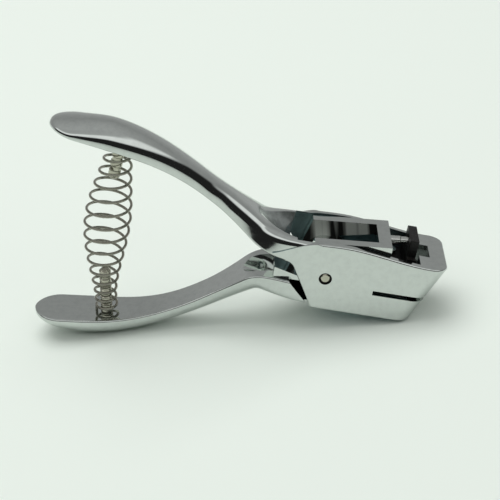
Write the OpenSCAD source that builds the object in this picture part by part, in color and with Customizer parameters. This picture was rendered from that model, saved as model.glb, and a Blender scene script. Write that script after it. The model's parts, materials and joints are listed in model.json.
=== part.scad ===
// Slot punch, plier type, that cuts one long slot.
// Side view: x runs along the jaw to the nose, z is square to the throat, and the
// pivot is the origin. The bottom lines of each node stand the tool at rest.

/* [Jaw] */
// Width over the two cheeks
jaw_w = 24; // [20:0.5:28]
// Thickness of each cheek
cheek_t = 2; // [1.5:0.1:2.6]
// Height of the cheeks above the pivot, at the pivot
cheek_top = 12.7; // [11.5:0.1:14]
// Height of the nose above the pivot
nose_top = 9.8; // [8.5:0.1:10.5]
// Depth of the lower jaw below the pivot
jaw_drop = 11.9; // [11:0.1:14]
// Wall in front of the slot at the underside of the jaw
nose_wall = 1.6; // [1.4:0.1:4]
// Lean of the nose, in degrees off square to the throat
nose_lean = 21.8; // [10:0.2:22]
// Rounding of the nose corners
nose_round = 4.5; // [2:0.5:7]

/* [Throat] */
// Distance from the pivot to the bottom of the throat
throat_x = 16.5; // [15:0.1:18]
// Height of the throat
throat_h = 1.65; // [1.2:0.05:2.2]
// Upper face of the throat, below the pivot
throat_z = 1.7; // [1.5:0.1:2.2]

/* [Slot] */
// Width of the slot that is cut
slot_w = 3; // [2.5:0.1:3.6]
// Length of the slot that is cut
slot_l = 15; // [12:0.5:16]
// Distance from the bottom of the throat to the middle of the slot
slot_edge = 10.9; // [10.4:0.1:11.4]
// Clearance of the punch in its guide, each side
punch_clear = 0.05; // [0.02:0.01:0.08]
// Clearance of the punch in the die, each side
die_clear = 0.03; // [0.02:0.01:0.06]
// Height of the punch head above its hole
head_rim = 1.05; // [0.9:0.05:1.6]
// Width of the punch head
head_w = 11; // [9:0.5:12]
// Height of the blade shoulders above the pivot
shoulder_z = 9.7; // [9.4:0.1:10]
// Height of the resting blade edge above the throat
blade_rest = 0.45; // [0.3:0.05:0.8]

/* [Guide and die] */
// Thickness of the punch guide
guide_t = 3.6; // [3:0.1:4]
// Length of the guide and the die plate behind the slot
guide_back = 6.3; // [5.8:0.1:6.6]
// Thickness of the die plate
die_t = 2.5; // [2.2:0.1:3]
// Length of the die plate in front of the slot
die_front = 1.7; // [1.4:0.1:1.9]
// Margin between the die plate and the sides of the jaw
die_margin = 3; // [2.6:0.1:3.2]
// Distance of the screws from the back of the guide
screw_inset = 2.7; // [2.4:0.1:3]
// Depth of the thread of the die screws in the jaw
die_thread = 3; // [2:0.1:4]
// Depth of the hollow ground into the punch edge
hollow = 0.8; // [0.4:0.1:1.2]

/* [Handles] */
// Reach of the upper handle behind the pivot
upper_reach = 97; // [90:0.5:104]
// Height of the tip of the upper handle above the pivot
upper_rise = 34.6; // [32:0.2:38]
// Reach of the lower handle behind the pivot
lower_reach = 93.5; // [88:0.5:102]
// Depth of the tip of the lower handle below the pivot
lower_drop = 35.4; // [33:0.2:38]
// Width of the handles at the palm
palm_w = 17.3; // [15:0.1:20]
// Width of the handles at the neck
neck_w = 11.6; // [10:0.1:14]
// Thickness of the handles at the palm
palm_t = 7.3; // [6:0.1:8]
// Thickness of the handles at the neck
neck_t = 5.6; // [5:0.1:7]
// Thickness of the handles at the tips
tip_t = 3.6; // [3:0.1:6]
// Length over which a handle tip rounds off
tip_len = 9.5; // [7:0.5:12]

/* [Lever] */
// Radius of the lever hub
hub_r = 17; // [16.4:0.1:17.4]
// Clearance of the lever from each cheek
side_clear = 0.5; // [0.45:0.01:0.6]
// Radius of the boss round the pivot
boss_r = 8; // [7:0.1:8.5]
// Front of the crossbar, in front of the pivot
bar_x = 19.8; // [19:0.1:20.2]
// Length of the crossbar along the jaw
bar_l = 4.2; // [3.6:0.1:5]
// Top of the lever arm above the pivot, at the pivot
arm_top = 12.1; // [11.6:0.1:12.6]
// Upward slope of the lever arm, in degrees
arm_slope = 5.4; // [4:0.1:6.5]
// Depth of the lever arm
arm_t = 4.6; // [4:0.1:5.2]
// Depth of the crossbar
bar_t = 3.4; // [3:0.1:4]
// Width of the window in the lever arm
window_w = 12.4; // [10:0.1:13.5]
// Gap between the lever shoulders and the cheeks at rest, at the foot of the shoulders
stop_gap = 0.25; // [0.2:0.01:0.35]
// Lean of the shoulders above their foot, in degrees
shoulder_lean = 46; // [35:1:50]
// Radius of the valley between the cheeks, at the neck
valley_r = 10.4; // [10:0.1:10.8]
// Forward lean of the faces on either side of the heel gap, in degrees
heel_lean = 14; // [10:0.5:18]
// Distance from the pivot to the back face of the hub
hub_back = 8.3; // [8:0.1:9.5]
// Distance from the pivot to the front face of the neck
neck_front = 14.2; // [13:0.1:15]

/* [Pivot] */
// Diameter of the pivot rivet
rivet_d = 3.3; // [3:0.1:4.4]
// Width of the ring of the recess round the rivet ends
recess_ring = 0.55; // [0.3:0.05:0.8]
// Depth of the recess round the rivet ends
recess_t = 0.6; // [0.4:0.1:1]
// Wall of the bush in the lever
bush_wall = 1.2; // [0.9:0.1:1.6]
// Outside diameter of the thrust washers
washer_d = 9; // [8:0.1:11]
// Running clearance of the rivet, on the radius
pivot_clear = 0.03; // [0.02:0.01:0.05]

/* [Drive pin] */
// Diameter of the drive pin
pin_d = 2.8; // [2.4:0.1:3]
// Diameter of the nose that drives the punch
pin_nose_d = 2.4; // [1.8:0.1:2.5]
// Depth of the drive pin below the top of the crossbar, at its front
pin_drop = 2; // [1.9:0.05:2.2]
// Upward slope of the drive pin, in degrees
pin_slope = 7; // [6:0.1:8]
// Depth of the boss under the crossbar that holds the pin
pin_boss_t = 5.2; // [4.6:0.1:5.4]
// Width of that boss
pin_boss_w = 7; // [5:0.1:7.4]

/* [Spring] */
// Diameter of the spring wire
wire_d = 0.95; // [0.8:0.05:1.1]
// Diameter of the spring over its fullest coil
spring_d = 16; // [14:0.5:18]
// Diameter of the spring over its upper end
spring_top_d = 9.6; // [9:0.2:11]
// Diameter of the spring over its lower end
spring_end_d = 8; // [7.6:0.2:9]
// Bow of the spring away from the pivot, at its middle
spring_bow = 2.3; // [0:0.1:3]
// Turns of the spring
turns = 14; // [10:1:15]
// Diameter of the studs that hold the spring
stud_d = 4; // [3.2:0.1:4.4]
// Length of the upper stud
upper_stud_l = 12.5; // [10:0.5:15]
// Length of the lower stud
lower_stud_l = 16; // [10:0.5:18]
// Distance of the upper stud from the tip of its handle
upper_stud_in = 23.6; // [20:0.2:26]
// Distance of the lower stud from the tip of its handle
lower_stud_in = 24.2; // [21:0.2:27]

/* [Fasteners] */
// Diameter of the small screws
screw_d = 2; // [1.6:0.1:2.4]
// Diameter of their heads
screw_head_d = 3.8; // [3.4:0.1:4]
// Height of their heads
screw_head_t = 1.3; // [1:0.1:1.5]
// Spacing of each pair of screws across the jaw
screw_span = 12; // [11.5:0.1:13]

/* [Hidden] */

chrome = [0.78, 0.79, 0.8];
nickel = [0.72, 0.69, 0.6];
steel = [0.6, 0.61, 0.63];
black = [0.09, 0.09, 0.1];

fit = 0.02;
far = 60;
eps = 0.01;
inner_w = jaw_w - 2 * cheek_t;
hub_w = inner_w - 2 * side_clear;
hub_gap = 0.4;
upper_jaw_t = 2.5;
floor_z = upper_jaw_t - throat_z;
throat_low = -throat_z - throat_h;
punch_x = throat_x + slot_edge;
punch_back = punch_x - slot_w / 2;
punch_front = punch_x + slot_w / 2;
chute_gap = 0.6;
well_x = punch_front + 1.3;
nose_reach = punch_front + chute_gap + nose_wall + (nose_top + jaw_drop) * tan(nose_lean);

function lerp(a, b, t) = a + (b - a) * t;
function smooth(t) = let (c = min(1, max(0, t))) c * c * (3 - 2 * c);
function unit(v) = v / norm(v);
function flat(lists) = [for (l = lists) each l];
function cubic(p, t) = pow(1 - t, 3) * p[0] + 3 * pow(1 - t, 2) * t * p[1]
    + 3 * (1 - t) * t * t * p[2] + t * t * t * p[3];
function arc(c, r, a0, a1, n) = [for (i = [0:n]) let (a = lerp(a0, a1, i / n))
    c + r * [cos(a), sin(a)]];

// Handle curves run along the flat inner face, from inside the fork to the tip.
// Each has a short cubic through the fork and a long one to the tip.
upper_root = [-27.1, 8.7];
lower_root = [-25.8, -7.4];
upper_start = [-4, 4.3];
lower_start = [-3, -3.6];
function toward(a, l) = l * [cos(a), sin(a)];
upper_fork = [upper_start, upper_start + toward(180, 12), upper_root + toward(-36, 7), upper_root];
lower_fork = [lower_start, lower_start + toward(180, 12), lower_root + toward(43, 6.6), lower_root];
upper_tip = [-upper_reach, upper_rise];
lower_tip = [-lower_reach, -lower_drop];
upper_long = [upper_root, upper_root + toward(144.3, 41), upper_tip + toward(-9.7, 26.6), upper_tip];
lower_long = [lower_root, lower_root + toward(223.4, 38.4), lower_tip + toward(8.7, 27), lower_tip];

// Half width, thickness and squareness of a handle at x
palm_x = -76;
neck_x = -44;
tip_taper = 20;
root_taper = 28;
oval = 2.2;
square = 14;
square_from = -34;
square_to = -4;
upper_flare = [-40, -13];
lower_flare = [-38, -7];
function half_width(x, flare) = x < neck_x
    ? lerp(palm_w, neck_w, smooth((x - palm_x) / (neck_x - palm_x))) / 2
    : lerp(neck_w, jaw_w - 0.1, smooth((x - flare[0]) / (flare[1] - flare[0]))) / 2;
function thickness(x, root_t) = x < palm_x
    ? lerp(tip_t, palm_t, smooth((x - palm_x) / tip_taper + 1))
    : x < neck_x
    ? lerp(palm_t, neck_t, smooth((x - palm_x) / (neck_x - palm_x)))
    : lerp(neck_t, root_t, smooth((x - neck_x) / root_taper));
function squareness(x) = lerp(oval, square,
    pow(min(1, max(0, (x - square_from) / (square_to - square_from))), 2.5));

// A cross section has a flat inner face with soft edges and a domed back
dome_n = 14;
rim = 0.7;
function section(w, t, e) = let (k = min(rim, w / 3)) concat(
    [[-w + k, 0], [w - k, 0]],
    [for (i = [0:dome_n]) let (a = 180 * i / dome_n, c = cos(a), s = sin(a))
        [w * sign(c) * pow(abs(c), 2 / e), k + (t - k) * pow(abs(s), 2 / e)]]
);
fork_steps = 9;
long_steps = 15;
tip_angles = [76, 62, 49, 37, 26, 16, 8];
function tip_share(c) = tip_len / norm(c[3] - c[2]) / 3;
function path(fork, c) = concat(
    [for (i = [0:fork_steps - 1]) cubic(fork, i / fork_steps)],
    [for (i = [0:long_steps]) cubic(c, i / long_steps * (1 - tip_share(c)))],
    [for (a = tip_angles) cubic(c, 1 - tip_share(c) * (1 - cos(a)))]
);
function tip_factor(i) = let (k = i - fork_steps - long_steps - 1) k < 0 ? 1 : sin(tip_angles[k]);
function slope(p, i) = unit(p[min(i + 1, len(p) - 1)] - p[max(i - 1, 0)]);
function rings(p, side, flare, root_t) = [for (i = [0:len(p) - 1])
    let (d = slope(p, i), n = side * [d[1], -d[0]], k = tip_factor(i), x = p[i][0],
        s = section(half_width(x, flare) * k, thickness(x, root_t) * pow(k, 0.7), squareness(x)))
    [for (q = s) [p[i][0] + n[0] * q[1], side * q[0], p[i][1] + n[1] * q[1]]]];

upper_path = path(upper_fork, upper_long);
lower_path = path(lower_fork, lower_long);
edge_dip = 0.6;
heel_rise = 1;
upper_rings = rings(upper_path, 1, upper_flare, cheek_top - edge_dip - 0.1 - upper_start[1]);
lower_rings = rings(lower_path, -1, lower_flare, jaw_drop - heel_rise + lower_start[1]);

module loft(r) {
    count = len(r[0]);
    last = len(r) - 1;
    polyhedron(flat(r), concat(
        [[for (j = [count - 1:-1:0]) j]],
        [for (i = [0:last - 1]) for (j = [0:count - 1]) let (k = (j + 1) % count)
            each [[i * count + j, i * count + k, (i + 1) * count + k],
                [i * count + j, (i + 1) * count + k, (i + 1) * count + j]]],
        [[for (j = [0:count - 1]) last * count + j]]
    ));
}

// The tool stands on the back of its lower handle and the front edge of its jaw
function front_x(z) = nose_reach - (nose_top - z) * tan(nose_lean);
toe = [front_x(-jaw_drop), -jaw_drop];
stand_tilt = max([for (r = lower_rings) for (q = r) atan2(toe[1] - q[2], toe[0] - q[0])]);
function stood_x(x, z) = x * cos(stand_tilt) + z * sin(stand_tilt);
function stood_z(x, z) = -x * sin(stand_tilt) + z * cos(stand_tilt);
stood_back = min([for (r = lower_rings) for (q = r) stood_x(q[0], q[2])]);
stood_front = stood_x(nose_reach, nose_top);
shift_x = -(stood_back + stood_front) / 2;
shift_z = -stood_z(toe[0], toe[1]);
module stand() {
    translate([shift_x, 0, shift_z]) rotate([0, stand_tilt, 0]) children();
}

// Places a side view outline, or a box, across the width w
module across(w) {
    rotate([90, 0, 0]) translate([0, 0, -w / 2]) linear_extrude(w) children();
}
module box(x0, x1, w, z0, z1) {
    translate([x0, -w / 2, z0]) cube([x1 - x0, w, z1 - z0]);
}
module pair(x, span) {
    for (s = [-1, 1]) translate([x, s * span / 2, 0]) children();
}

// Side view of the cheeks
back_x = -10.1;
back_lean = 27.9;
function back_at(z) = back_x - z * tan(back_lean);
crest_x = 4;
function cheek_z(x) = x > crest_x
    ? lerp(cheek_top, nose_top, smooth((x - crest_x) / (nose_reach - 10)))
    : lerp(cheek_top, cheek_top - edge_dip, smooth((crest_x - x) / 16));
corner = 1.4;
heel_fillet = 4;
// The cheeks end at a crease where the round neck begins, from the heel up to the top edge
crease = [[-16.5, 5.4], [-19, 6.4], [-18.3, 7.3], [-15.7, 7.9], [-13.6, 8.8], [-11.3, 10.2],
    [-9.2, 11.4], [-7.1, 12]];
module cheek_outline() {
    polygon(concat(
        [for (i = [0:15]) let (x = lerp(upper_start[0], nose_reach + 1, i / 15)) [x, cheek_z(x)]],
        [[nose_reach + 1, -jaw_drop]],
        arc([back_at(-jaw_drop) + corner * 1.25, -jaw_drop + corner], corner, 270, 180 + 28, 4),
        arc([back_at(0) - heel_fillet - 0.4, 0.2], heel_fillet, 28, 90, 6),
        crease
    ));
}
// Limits the jaw to its leaning, rounded front
module nose_limit() {
    front = nose_reach * cos(nose_lean) - nose_top * sin(nose_lean);
    half = jaw_w / 2 - nose_round;
    rotate([0, nose_lean, 0]) translate([0, 0, -far]) linear_extrude(2 * far) union() {
        translate([-far, -jaw_w / 2]) square([far + front - nose_round, jaw_w]);
        translate([-far, -half]) square([far + front, 2 * half]);
        for (s = [-1, 1]) translate([front - nose_round, s * half]) circle(nose_round, $fn = 64);
    }
}
// Round valley that runs down between the rims of the neck
valley_from = [-36, 23.4];
valley_to = [-12.6, 6.6];
module valley() {
    d = unit(valley_to - valley_from);
    a = valley_from + [-d[1], d[0]] * valley_r;
    translate([a[0], 0, a[1]]) rotate([0, 90 + atan2(-d[1], d[0]), 0])
        cylinder(r = valley_r, h = norm(valley_to - valley_from), $fn = 96);
}
// Room for the lever between the cheeks, with the front face of the neck behind it
neck_under = 3.8;
module lever_room() {
    across(inner_w) union() {
        intersection() {
            circle(hub_r + hub_gap, $fn = 128);
            union() {
                translate([-far, -far]) square([far + hub_gap, far + neck_under]);
                rotate(-heel_lean) translate([-neck_front, 0]) square([neck_front, far]);
            }
        }
        circle(boss_r + hub_gap, $fn = 96);
        translate([-boss_r, floor_z]) square([well_x + boss_r, far]);
    }
}

module stud_hole(stud) {
    stud_place(stud) translate([0, 0, -stud_grip])
        cylinder(d = stud_d + 2 * fit, h = stud_grip + 1, $fn = 48);
}

// The frame is cut for the lever, the throat, the blade and the small parts
notch_l = 4.7;
blade_room = 0.2;
module frame() color(chrome) stand() {
    difference() {
        union() {
            loft(upper_rings);
            intersection() {
                across(jaw_w) cheek_outline();
                nose_limit();
            }
        }
        lever_room();
        valley();
        box(throat_x, far, jaw_w + 2, throat_low, -throat_z);
        // Notch in the nose for the end of the drive pin
        box(well_x - 1, well_x - 1 + notch_l, notch_w, notch_z, far);
        // Passage for the blade and the chute for the cut pieces
        box(punch_back - blade_room, punch_front + blade_room, slot_l + 2 * blade_room, throat_low, far);
        box(punch_back - chute_gap, punch_front + chute_gap, slot_l + 2 * chute_gap, -far, throat_low);
        box(die_x0 - fit, die_x1 + fit, die_w + 2 * fit, throat_low - die_t, throat_low + 1);
        pair(screw_x, screw_span) {
            translate([0, 0, -throat_z + 0.3]) cylinder(d = screw_d + 2 * fit, h = far, $fn = 32);
            translate([0, 0, throat_low - die_t - die_thread - 0.4])
                cylinder(d = screw_d + 2 * fit, h = die_thread + 1, $fn = 32);
        }
        rotate([90, 0, 0]) cylinder(d = rivet_d + 2 * fit, h = far, center = true, $fn = 64);
        for (s = [-1, 1]) translate([0, s * (jaw_w / 2 - recess_t), 0]) rotate([-90 * s, 0, 0])
            cylinder(d = rivet_d + 2 * recess_ring, h = 2, $fn = 64);
        stud_hole(upper_stud);
    }
}

// Lever
function arm_at(x) = arm_top + x * tan(arm_slope);
bar_back = bar_x - bar_l;
shelf_drop = 4;
hub_low = heel_rise - jaw_drop + 0.4;
arm_root_x = 3;
arm_taper = 3;
module lever_outline() {
    difference() {
        intersection() {
            polygon([[-far, hub_low], [0, hub_low], [0, 0], [arm_root_x, arm_at(arm_root_x) - arm_t - 1],
                [bar_back - arm_taper, arm_at(bar_back) - arm_t], [bar_back, arm_at(bar_back) - bar_t - 0.4],
                [bar_x + 0.25, arm_at(bar_x) - bar_t], [bar_x, arm_at(bar_x)], [-far, arm_at(-far)]]);
            union() {
                circle(hub_r, $fn = 128);
                translate([0, -far]) square([far, 2 * far]);
            }
        }
        // The heel gap, open behind the hub and above the shelf that carries the handle
        rotate(-heel_lean) translate([-far, -shelf_drop]) square([far - hub_back, far]);
    }
    circle(boss_r, $fn = 96);
}
// The window runs from the heel gap to the crossbar and leaves the round boss between the arms
module window() {
    across(window_w) difference() {
        translate([-hub_back - 1, 0]) square([hub_back + 1 + bar_back, far]);
        circle(boss_r, $fn = 96);
    }
}
pocket_from = [-27.5, -7.6];
pocket_to = [-9, -10.1];
pocket_r = 5.6;
module handle_pocket() {
    d = unit(pocket_to - pocket_from);
    a = pocket_from + [-d[1], d[0]] * pocket_r;
    translate([a[0], 0, a[1]]) rotate([0, 90 + atan2(-d[1], d[0]), 0])
        cylinder(r = pocket_r, h = norm(pocket_to - pocket_from), $fn = 64);
}
// Clears the lever shoulders from the edge of each cheek, with a foot that meets it
shoulder_foot = -9.6;
module cheek_room() {
    foot_x = back_at(shoulder_foot) - stop_gap;
    for (s = [-1, 1]) translate([0, s * (hub_w / 2 + far / 2), 0]) across(far)
        polygon([[foot_x, shoulder_foot], [foot_x - far * tan(shoulder_lean), shoulder_foot + far],
            [far, far], [far, -far], [back_at(-far) - stop_gap, -far]]);
}
module lever() color(chrome) stand() {
    difference() {
        union() {
            difference() {
                loft(lower_rings);
                cheek_room();
                handle_pocket();
            }
            across(hub_w) lever_outline();
            box(bar_back, bar_x, pin_boss_w, arm_at(bar_x) - pin_boss_t, arm_at(bar_back) - 1);
        }
        window();
        rotate([90, 0, 0]) cylinder(d = bush_d + 2 * fit, h = far, center = true, $fn = 64);
        pin_place() translate([0, 0, -bar_l - 3]) cylinder(d = pin_d + 2 * fit, h = far, $fn = 48);
        stud_hole(lower_stud);
    }
}

// Pivot
rivet_sunk = 0.15;
rivet_edge = 0.35;
chamfer = 0.3;
module pivot_rivet() color(nickel) stand() {
    half = jaw_w / 2 - rivet_sunk;
    r = rivet_d / 2;
    rotate([90, 0, 0]) rotate_extrude($fn = 64) polygon([[0, -half], [r - rivet_edge, -half],
        [r, -half + chamfer], [r, half - chamfer], [r - rivet_edge, half], [0, half]]);
}
bush_bore = rivet_d + 2 * pivot_clear;
bush_d = bush_bore + 2 * bush_wall;
module pivot_bush() color(steel) stand() {
    rotate([90, 0, 0]) difference() {
        cylinder(d = bush_d, h = hub_w, center = true, $fn = 64);
        cylinder(d = bush_bore, h = far, center = true, $fn = 64);
    }
}
washer_t = side_clear - 0.08;
module thrust_washers() color(steel) stand() {
    for (s = [-1, 1]) translate([0, s * (inner_w - side_clear) / 2, 0]) rotate([90, 0, 0]) difference() {
        cylinder(d = washer_d, h = washer_t, center = true, $fn = 64);
        cylinder(d = bush_bore + 0.1, h = 2, center = true, $fn = 64);
    }
}

// Drive pin, with its axis from the front of the crossbar to the punch
pin_z = arm_at(bar_x) - pin_drop;
function pin_at(x) = pin_z + (x - bar_x) * tan(pin_slope);
module pin_place() {
    translate([bar_x, 0, pin_z]) rotate([0, 90 - pin_slope, 0]) children();
}
pin_reach = (punch_front - bar_x) / cos(pin_slope) - 0.1;
// The pin moves on through the head by this much while the lever is pressed
press_angle = 10.5;
pin_advance = pin_at(punch_back) * sin(press_angle) - punch_back * (1 - cos(press_angle));
pin_neck = (punch_back - bar_x) / cos(pin_slope) - pin_advance - 0.4;
pin_edge = 0.4;
module drive_pin() color(steel) stand() pin_place() {
    r = pin_d / 2;
    n = pin_nose_d / 2;
    rotate_extrude($fn = 48) polygon([[0, -bar_l + chamfer], [r, -bar_l + chamfer],
        [r, pin_neck - chamfer], [r - chamfer, pin_neck], [n, pin_neck],
        [n, pin_reach - chamfer], [n - pin_edge, pin_reach], [0, pin_reach]]);
}

// Punch and guide
head_hole_z = pin_at(punch_x) + 0.05;
head_play = 0.4;
head_hole_h = pin_nose_d + 2 * head_play;
head_top = head_hole_z + head_hole_h / 2 + head_rim;
notch_w = 7.8;
notch_z = 4.6;
blade_end = -throat_z + blade_rest;
grind_half = slot_l / 2 + 0.5;
grind_r = (grind_half * grind_half + hollow * hollow) / 2 / hollow;
module punch() color(black) stand() {
    difference() {
        union() {
            box(punch_back, punch_front, slot_l, blade_end, shoulder_z);
            box(punch_back, punch_front, head_w, shoulder_z - 1, head_top);
        }
        box(punch_back - 1, punch_front + 1, pin_nose_d + head_play, head_hole_z - head_hole_h / 2,
            head_hole_z + head_hole_h / 2);
        // Hollow ground edge, highest in the middle
        translate([punch_x, 0, blade_end + hollow - grind_r]) rotate([0, 90, 0])
            cylinder(r = grind_r, h = 3 * slot_w, center = true, $fn = 180);
    }
}
guide_x0 = punch_back - guide_back;
guide_w = inner_w - 0.1;
screw_x = guide_x0 + screw_inset;
module punch_guide() color(black) stand() {
    difference() {
        box(guide_x0, well_x - 0.05, guide_w, floor_z, floor_z + guide_t);
        box(punch_back - punch_clear, punch_front + punch_clear, slot_l + 2 * punch_clear, 0, far);
        pair(screw_x, screw_span) cylinder(d = screw_d + screw_play, h = far, $fn = 32);
    }
}
// Screws with a six-sided socket, drawn with the seat of the head at the origin
screw_play = 0.2;
socket_w = 1.8;
socket_t = 0.7;
module screw(length) {
    difference() {
        union() {
            cylinder(d = screw_head_d, h = screw_head_t, $fn = 48);
            translate([0, 0, -length]) cylinder(d = screw_d, h = length + eps, $fn = 32);
        }
        translate([0, 0, screw_head_t - socket_t]) cylinder(d = socket_w, h = 2, $fn = 6);
    }
}
module guide_screws() color(steel) stand() {
    pair(screw_x, screw_span) translate([0, 0, floor_z + guide_t]) screw(guide_t + upper_jaw_t - 0.4);
}

// Die plate
die_x0 = guide_x0;
die_x1 = punch_front + die_front;
die_w = jaw_w - 2 * die_margin;
die_relief = 0.3;
die_land = 1.2;
screw_sunk = screw_head_t + 0.2;
module die_plate() color(steel) stand() {
    difference() {
        box(die_x0, die_x1, die_w, throat_low - die_t, throat_low);
        box(punch_back - die_clear, punch_front + die_clear, slot_l + 2 * die_clear, -far, far);
        box(punch_back - die_relief, punch_front + die_relief, slot_l + 2 * die_relief, -far,
            throat_low - die_land);
        pair(screw_x, screw_span) {
            translate([0, 0, -far]) cylinder(d = screw_d + screw_play, h = 2 * far, $fn = 32);
            translate([0, 0, throat_low - screw_sunk])
                cylinder(d = screw_head_d + screw_play, h = far, $fn = 48);
        }
    }
}
module die_screws() color(steel) stand() {
    pair(screw_x, screw_span) translate([0, 0, throat_low - screw_sunk])
        screw(die_t - screw_head_t + die_thread);
}

// Spring studs, pressed into blind holes in the inner faces of the handles
stud_grip = 3;
groove = 0.3;
function seat_t(c, x, lo = 0, hi = 1, n = 24) = let (m = (lo + hi) / 2)
    n == 0 ? m : cubic(c, m)[0] > x ? seat_t(c, x, m, hi, n - 1) : seat_t(c, x, lo, m, n - 1);
upper_t = seat_t(upper_long, upper_stud_in - upper_reach);
lower_t = seat_t(lower_long, lower_stud_in - lower_reach);
upper_seat = cubic(upper_long, upper_t);
lower_seat = cubic(lower_long, lower_t);
spring_dir = unit(lower_seat - upper_seat);
spring_len = norm(lower_seat - upper_seat);
axis_angle = atan2(spring_dir[0], spring_dir[1]);

// The studs lean with the ends of the bowed spring
stud_lean = atan(PI * spring_bow / spring_len);
upper_stud = [upper_seat, axis_angle + stud_lean];
lower_stud = [lower_seat, axis_angle - 180 - stud_lean];
module stud_place(stud) {
    translate([stud[0][0], 0, stud[0][1]]) rotate([0, stud[1], 0]) children();
}
module stud_shape(length, pitch) {
    r = stud_d / 2;
    count = floor((length - 2) / pitch);
    rotate_extrude($fn = 40) polygon(concat(
        [[0, -stud_grip + 0.1], [r, -stud_grip + 0.1], [r, 0.8]],
        [for (i = [0:count - 1]) let (z = 1 + i * pitch)
            each [[r, z], [r - groove, z + 0.3], [r - groove, z + pitch / 2 - 0.2], [r, z + pitch / 2]]],
        [[r, length - 0.8], [r - 0.8, length], [0, length]]
    ));
}
module upper_stud() color(steel) stand() stud_place(upper_stud) stud_shape(upper_stud_l, 3.4);
module lower_stud() color(steel) stand() stud_place(lower_stud) stud_shape(lower_stud_l, 1.4);

// Barrel spring, one wire from the upper face to the lower, along the axis of the studs.
// Each end of the wire leaves the coil and stands square on its handle.
curl_rings = 8;
wire_sides = 6;
seat_gap = 0.3;
lift = 1.3;
bend = 1.1;
widest = 0.41;
narrowed = 0.9;
function on_axis(v) = [v[0] * cos(axis_angle) - v[1] * sin(axis_angle), 0,
    v[0] * sin(axis_angle) + v[1] * cos(axis_angle)];
function coil_d(s) = s < widest
    ? lerp(spring_top_d, spring_d, smooth(s / widest))
    : lerp(spring_d, spring_end_d, smooth((s - widest) / (narrowed - widest)));
function coil_r(s) = (coil_d(s) - wire_d) / 2;
function coil_z(s) = lift + (spring_len - 2 * lift) * cubic([0, 0.32, 0.805, 1], s);
function coil_out(s) = [cos(360 * turns * s), sin(360 * turns * s), 0];
function coil_point(s) = coil_r(s) * coil_out(s) + [spring_bow * sin(180 * s), 0, coil_z(s)];
coil_n = turns * curl_rings;

// The end of the wire that meets the face through seat_z with tangent t, side 1 at the top
function wire_end(s, seat_z, t, side) = let (e = coil_point(s), y = -side * bend,
    n = side * unit([-t[2], 0, t[0]] * sign(t[0])),
    foot = [e[0], y, seat_z + e[0] * t[2] / t[0]] + seat_gap * n, straight = foot + wire_d * n,
    c = [straight, straight + bend * 0.6 * n, e + [0, y * 0.7, 0], e])
    [foot, straight, cubic(c, 0.35), cubic(c, 0.7)];
function face_at(c, t) = on_axis(unit(cubic(c, t + 0.01) - cubic(c, t - 0.01)));
top_end = wire_end(0, 0, face_at(upper_long, upper_t), 1);
low_end = wire_end(1, spring_len, face_at(lower_long, lower_t), -1);
wire = concat(top_end, [for (i = [0:coil_n]) coil_point(i / coil_n)],
    [for (i = [3:-1:0]) low_end[i]]);
function wire_out(i) = coil_out(min(1, max(0, (i - 4) / coil_n)));
function wire_ring(i) = let (d = unit(wire[min(i + 1, len(wire) - 1)] - wire[max(i - 1, 0)]),
    a = unit(wire_out(i) - (wire_out(i) * d) * d), b = cross(d, a))
    [for (j = [0:wire_sides - 1]) let (g = 360 * j / wire_sides)
        wire[i] + wire_d / 2 * (cos(g) * a + sin(g) * b)];
module handle_spring() color(nickel) stand() stud_place([upper_seat, axis_angle])
    loft([for (i = [0:len(wire) - 1]) wire_ring(i)]);
least_gap = min([for (i = [0:len(wire) - 6]) for (j = [i + 6:len(wire) - 1])
    norm(wire[i] - wire[j])]) - wire_d;
echo(least_gap_of_the_spring_to_itself = least_gap);

frame();
lever();
pivot_rivet();
pivot_bush();
thrust_washers();
drive_pin();
punch();
punch_guide();
guide_screws();
die_plate();
die_screws();
handle_spring();
upper_stud();
lower_stud();
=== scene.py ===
"""Slot punch: a plier-type hand punch in plated metal, dressed round its CAD frame.

Every length is in metres. Outlines are drawn in the jaw's own frame, where the pivot is the origin,
x runs along the jaw to the nose and z is square to the throat; stand() then tilts them to the floor.
"""
import json
import math

import bmesh
import bpy
from mathutils import Matrix, Vector


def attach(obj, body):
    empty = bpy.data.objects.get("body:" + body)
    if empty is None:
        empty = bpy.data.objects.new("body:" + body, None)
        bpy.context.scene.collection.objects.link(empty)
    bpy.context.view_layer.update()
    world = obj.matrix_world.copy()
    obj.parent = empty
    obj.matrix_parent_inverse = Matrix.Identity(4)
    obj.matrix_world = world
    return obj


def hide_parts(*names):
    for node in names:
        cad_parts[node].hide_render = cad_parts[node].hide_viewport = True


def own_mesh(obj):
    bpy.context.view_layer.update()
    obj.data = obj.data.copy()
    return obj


bl_info = {
    "name": "Slot punch",
    "version": (1, 0, 0),
    "blender": (4, 5, 0),
    "location": "3D View > Sidebar > Slot punch",
    "description": "Models the plated body, spring and small parts of a hand slot punch",
    "category": "Object",
}

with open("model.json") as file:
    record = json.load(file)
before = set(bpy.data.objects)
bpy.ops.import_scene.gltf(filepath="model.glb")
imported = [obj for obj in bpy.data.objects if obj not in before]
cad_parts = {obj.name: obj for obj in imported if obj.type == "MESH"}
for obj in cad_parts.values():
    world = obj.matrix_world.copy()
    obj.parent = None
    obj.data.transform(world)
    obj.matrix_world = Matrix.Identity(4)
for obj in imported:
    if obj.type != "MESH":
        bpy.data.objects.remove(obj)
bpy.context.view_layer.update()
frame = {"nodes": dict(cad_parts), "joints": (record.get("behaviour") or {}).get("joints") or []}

MM = 0.001
JOINTS = {joint["name"]: joint for joint in frame["joints"]}
PIVOT = Vector(JOINTS["lever_hinge"]["pos_m"])
STROKE = Vector(JOINTS["punch_slide"]["axis"])
TILT = math.atan2(-STROKE.x, -STROKE.z)
STAND = Matrix.Translation(PIVOT) @ Matrix.Rotation(TILT, 4, "Y")

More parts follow.
